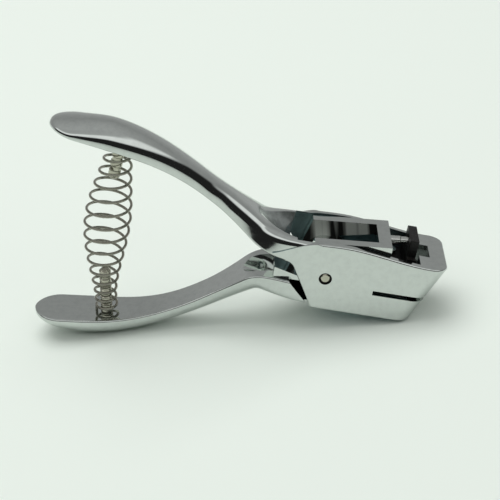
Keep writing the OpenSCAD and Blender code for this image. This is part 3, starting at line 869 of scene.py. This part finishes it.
class PUNCH_OT_handles(bpy.types.Operator):
    """Model the two handles as bodies drawn out from the fork to the tip"""
    bl_idname = "punch.handles"
    bl_label = "Handles"

    def execute(self, context):
        s = sizes("jaw")
        upper = loft("upper_handle", upper_handle_shape().rings())
        combine(upper, valley_tool())
        wall = s.width - 2 * s.cheek + 0.1 * MM
        combine(upper, profile("hub_room", room_outline(), wall))
        finish(stand(upper), "frame", "plated_casting", plating(), "frame")
        # Painted shade: the walls of the hub's room get the darker plating
        paint_where(upper, dull_plating_and_shade(), lambda p, n: on_wall(p, n, wall / 2))
        paint_where(upper, valley_plating(), in_valley)
        lower = loft("lower_handle", lower_handle_shape().rings())
        combine(lower, pocket_tool())
        clear_of_cheeks(lower)
        finish(stand(lower), "lever", "plated_casting", plating())
        return {"FINISHED"}


# The lever


def lever_outline():
    """Side view of the hub and the arm: foot of the hub, its back, the arm and the crossbar."""
    s = sizes("lever")
    foot, shelf, bar_back = -10.5 * MM, -4 * MM, s.bar_front - s.bar
    foot_angle = 180 + math.degrees(math.asin(-foot / s.hub))
    shelf_end = leaning(-math.sqrt(s.hub ** 2 - shelf ** 2), shelf)
    shelf_angle = math.degrees(math.atan2(shelf_end[1], shelf_end[0]))
    level = leaning(-s.back, 0)
    rise = ((arm_top(level[0]) - level[1])
            / (math.cos(s.heel) - math.sin(s.heel) * math.tan(s.slope)))
    outline = [(0, foot)] + arc((0, 0), s.hub, foot_angle, shelf_angle, 30)
    outline += [leaning(-s.back, shelf), leaning(-s.back, rise)]
    outline += [(s.bar_front, arm_top(s.bar_front)),
                (s.bar_front + 0.25 * MM, arm_top(s.bar_front) - 3.4 * MM),
                (bar_back, arm_top(bar_back) - 3.8 * MM),
                (bar_back - 3 * MM, arm_top(bar_back) - 4.6 * MM),
                (3 * MM, arm_top(3 * MM) - 5.6 * MM), (0, 0)]
    return outline


class PUNCH_OT_lever(bpy.types.Operator):
    """Model the hub of the lever and its windowed arm with the crossbar"""
    bl_idname = "punch.lever"
    bl_label = "Lever arm"

    def execute(self, context):
        s = sizes("lever")
        half, bar_back, bush = s.window / 2, s.bar_front - s.bar, 2.9 * MM
        pin_boss_half = 3.5 * MM
        pin_boss = (arm_top(s.bar_front) - 5.2 * MM, arm_top(bar_back) - MM)
        piece = profile("lever_arm", lever_outline(), s.width)
        combine(piece, axle("boss", s.boss, s.width / 2, 96), "UNION")
        window = block("window", (-s.back - MM, bar_back), half, (0, ABOVE))
        combine(window, axle("boss_kept", s.window_boss, BESIDE, 128))
        combine(piece, window)
        combine(piece, block("pin_boss", (bar_back, s.bar_front), pin_boss_half, pin_boss), "UNION")
        combine(piece, axle("bush_way", bush, FAR, 64))
        finish(stand(piece), "lever", "plated_casting", plating(), "lever")
        # Painted reflections: light and dark streaks on the walls of the window
        paint_where(piece, window_painted_reflections(), lambda p, n: on_wall(p, n, half))
        return {"FINISHED"}


# The small parts and the spring


class PUNCH_OT_small_parts(bpy.types.Operator):
    """Model the pivot, the punch, its guide, the die and the screws"""
    bl_idname = "punch.small_parts"
    bl_label = "Small parts"

    def execute(self, context):
        rows = (("pivot_rivet", "rivet", 0.1, "frame", "nickel_rivet", nickel()),
                ("pivot_bush", "bush", 0.05, "lever", "bright_steel", steel()),
                ("thrust_washers", "washers", 0.04, "frame", "bright_steel", steel()),
                ("drive_pin", "pin", 0.06, "lever", "bright_steel", steel()),
                ("punch", "blade", 0.2, "punch", "black_oxide", black_oxide()),
                ("punch_guide", "guide", 0.15, "frame", "black_oxide", black_oxide()),
                ("guide_screws", "guide_fasteners", 0.08, "frame", "bright_steel", steel()),
                ("die_plate", "die", 0.08, "frame", "hardened_steel", steel()),
                ("die_screws", "die_fasteners", 0.08, "frame", "bright_steel", steel()),
                ("upper_stud", "upper_spring_stud", 0.08, "frame", "bright_steel", nickel()),
                ("lower_stud", "lower_spring_stud", 0.06, "lever", "bright_steel", nickel()))
        for node, name, edge, body, slot, material in rows:
            finish(traced(node, name, edge * MM), body, slot, material, node)
        return {"FINISHED"}


def wire_path():
    """Points of the spring's wire in the jaw's frame, with its upper and lower seats.

    The wire is wound along the line between the seats: x leads away from the pivot, z down the
    line, and t runs from 0 at the upper end of the coil to 1 at the lower.
    """
    s = sizes("spring")
    upper, lower = upper_handle_shape(), lower_handle_shape()
    upper_t = upper.seat(upper.long[3].x + s.upper_seat)
    lower_t = lower.seat(lower.long[3].x + s.lower_seat)
    top, foot = cubic(upper.long, upper_t), cubic(lower.long, lower_t)
    run = foot - top
    down = run.normalized()
    out = Vector((down.y, -down.x))
    # Height of the coil off its seats, reach of the bends at its ends and gap under them
    lift, bend, gap = 1.3 * MM, 1.1 * MM, 0.3 * MM
    # Where along the coil it is widest and where it has narrowed again
    widest, narrowed = 0.41, 0.9
    # How the pitch widens in the middle: the inner points of a curve from 0 to 1
    early, late = 0.32, 0.805

    def coil(t):
        if t < widest:
            across = lerp(s.upper, s.fullest, smooth(t / widest))
        else:
            across = lerp(s.fullest, s.lower, smooth((t - widest) / (narrowed - widest)))
        radius = (across - s.wire) / 2
        a = 2 * math.pi * s.turns * t
        share = 3 * (1 - t) ** 2 * t * early + 3 * (1 - t) * t * t * late + t ** 3
        return Vector((radius * math.cos(a) + s.bow * math.sin(math.pi * t), radius * math.sin(a),
                       lift + (run.length - 2 * lift) * share))

    def face(shape, t):
        along = (cubic(shape.long, t + 0.01) - cubic(shape.long, t - 0.01)).normalized()
        return Vector((along.dot(out), 0, along.dot(down)))

    def wire_end(t, seat, along, side):
        end = coil(t)
        across = -side * bend
        square = Vector((-along.z, 0, along.x)) * math.copysign(1, along.x) * side
        start = Vector((end.x, across, seat + end.x * along.z / along.x)) + square * gap
        straight = start + square * s.wire
        turn = [straight, straight + square * bend * 0.6, end + Vector((0, across * 0.7, 0)), end]
        return [start, straight] + [cubic(turn, i / 8) for i in range(1, 8)]

    steps = s.turns * TURN_STEPS
    local = wire_end(0, 0, face(upper, upper_t), 1)
    local += [coil(i / steps) for i in range(steps + 1)]
    local += reversed(wire_end(1, run.length, face(lower, lower_t), -1))
    path = []
    for p in local:
        flat = top + out * p.x + down * p.z
        path.append(Vector((flat.x, p.y, flat.y)))
    return path, top, foot


class PUNCH_OT_spring(bpy.types.Operator):
    """Wind the barrel spring between the handles"""
    bl_idname = "punch.spring"
    bl_label = "Spring"

    def execute(self, context):
        s = sizes("spring")
        path, top, foot = wire_path()
        deselect()
        bpy.ops.curve.primitive_nurbs_path_add()
        piece = added("spring")
        curve = piece.data
        curve.splines.clear()
        line = curve.splines.new("POLY")
        line.points.add(len(path) - 1)
        for point, place in zip(line.points, path):
            point.co = (*place, 1)
        curve.bevel_depth = s.wire / 2
        curve.bevel_resolution = 4
        curve.use_fill_caps = True
        bpy.ops.object.convert(target="MESH")
        piece = added("spring")
        take(piece)
        bpy.ops.object.mode_set(mode="EDIT")
        bpy.ops.mesh.select_all(action="SELECT")
        bpy.ops.mesh.remove_doubles(threshold=1e-6)
        outward()
        deselect()
        finish(stand(piece), "frame", "nickel_wire", wire_plate(), "handle_spring", crease=60)
        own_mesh(piece)
        return {"FINISHED"}


# The stage


def light_world(tree):
    """A studio in bands by height: dark with a bright strip in front of the tool, grey behind it."""
    tree.nodes.clear()
    out = tree.nodes.new("ShaderNodeOutputWorld")
    where = tree.nodes.new("ShaderNodeTexCoord")
    split = tree.nodes.new("ShaderNodeSeparateXYZ")
    tree.links.new(where.outputs["Generated"], split.inputs[0])
    height = add_node(tree, "ShaderNodeMapRange", in1=-1.0, in2=1.0)
    tree.links.new(split.outputs["Z"], height.inputs[0])

    def bands(rows):
        """A ramp with a grey at each angle above the horizon."""
        greys = tree.nodes.new("ShaderNodeValToRGB")
        elements = greys.color_ramp.elements
        elements.remove(elements[1])
        for i, (degrees, value) in enumerate(rows):
            position = (math.sin(math.radians(degrees)) + 1) / 2
            element = elements.new(position) if i else elements[0]
            element.position = position
            element.color = (value * 0.985, value, value * 0.99, 1)
        tree.links.new(height.outputs[0], greys.inputs[0])
        return greys

    front = bands([(-90, 0.02), (29, 0.02), (35, 1.0), (50, 1.05), (57, 0.5), (90, 0.45)])
    rear = bands([(-90, 0.5), (-2, 0.5), (8, 0.45), (30, 0.34), (60, 0.46), (90, 0.5)])
    side = add_node(tree, "ShaderNodeMapRange", in1=-0.15, in2=0.15)
    side.interpolation_type = "SMOOTHSTEP"
    tree.links.new(split.outputs["Y"], side.inputs[0])
    mix = add_node(tree, "ShaderNodeMix", data_type="RGBA")
    tree.links.new(side.outputs[0], mix.inputs[0])
    tree.links.new(front.outputs[0], mix.inputs[6])
    tree.links.new(rear.outputs[0], mix.inputs[7])
    studio = add_node(tree, "ShaderNodeBackground", in1=1.0)
    tree.links.new(mix.outputs[2], studio.inputs[0])
    tree.links.new(studio.outputs[0], out.inputs[0])


def soft_lamp(place, aim, size, power):
    """A large soft lamp that no metal mirrors."""
    bpy.ops.object.light_add(type="AREA", location=place)
    lamp = added("soft_lamp")
    lamp.data.shape = "RECTANGLE"
    lamp.data.size = size
    lamp.data.size_y = size
    lamp.data.energy = power
    lamp.rotation_euler = (Vector(aim) - lamp.location).to_track_quat("-Z", "Y").to_euler()
    lamp.visible_glossy = False


def long_camera(propped, place, down):
    """The camera, placed from the pivot beside a tool that is propped up by that angle."""
    camera = bpy.data.cameras.new("camera")
    camera.lens = 111.6
    camera.sensor_width = 36
    viewer = bpy.data.objects.new("camera", camera)
    bpy.context.scene.collection.objects.link(viewer)
    viewer.matrix_world = (Matrix.Translation(PIVOT) @ Matrix.Rotation(TILT - propped, 4, "Y")
                           @ Matrix.Translation(place) @ Matrix.Rotation(down, 4, "X"))
    return viewer


class PUNCH_OT_stage(bpy.types.Operator):
    """Set the floor, the light and the camera"""
    bl_idname = "punch.stage"
    bl_label = "Stage"

    def execute(self, context):
        scene = context.scene
        deselect()
        bpy.ops.mesh.primitive_plane_add(size=60, location=(0, 0, 0))
        table = added("table")
        bpy.ops.object.transform_apply(location=True, rotation=True, scale=True)
        table.data.materials.append(pale_floor())
        world = bpy.data.worlds.new("studio")
        scene.world = world
        world.use_nodes = True
        light_world(world.node_tree)
        soft_lamp(place=(-0.25, 0.3, 1.4), aim=(0, 0, 0.03), size=1.3, power=13)
        scene.camera = long_camera(propped=math.radians(10.423),
                                   place=(-0.024857, -0.45033, 0.26413), down=math.radians(60))
        scene.view_settings.view_transform = "Standard"
        return {"FINISHED"}


class PUNCH_PT_panel(bpy.types.Panel):
    """Lists the sizes and the steps"""
    bl_label = "Slot punch"
    bl_idname = "PUNCH_PT_panel"
    bl_space_type = "VIEW_3D"
    bl_region_type = "UI"
    bl_category = "Slot punch"

    def draw(self, context):
        layout = self.layout
        for name, group in GROUPS.items():
            box = layout.box()
            box.label(text=group.__doc__)
            for key in group.__annotations__:
                box.prop(getattr(context.scene, name), key)
        for operator in OPERATORS:
            layout.operator(operator.bl_idname)


OPERATORS = (PUNCH_OT_stage, PUNCH_OT_jaw, PUNCH_OT_handles, PUNCH_OT_lever, PUNCH_OT_small_parts,
             PUNCH_OT_spring)


def register():
    for group in GROUPS.values():
        bpy.utils.register_class(group)
    for name, group in GROUPS.items():
        setattr(bpy.types.Scene, name, bpy.props.PointerProperty(type=group))
    for operator in OPERATORS:
        bpy.utils.register_class(operator)
    bpy.utils.register_class(PUNCH_PT_panel)


def unregister():
    bpy.utils.unregister_class(PUNCH_PT_panel)
    for operator in reversed(OPERATORS):
        bpy.utils.unregister_class(operator)
    for name in GROUPS:
        delattr(bpy.types.Scene, name)
    for group in GROUPS.values():
        bpy.utils.unregister_class(group)


def main():
    register()
    bpy.ops.punch.stage()
    bpy.ops.punch.jaw()
    bpy.ops.punch.handles()
    bpy.ops.punch.lever()
    bpy.ops.punch.small_parts()
    bpy.ops.punch.spring()
    deselect()


if __name__ == "__main__":
    main()
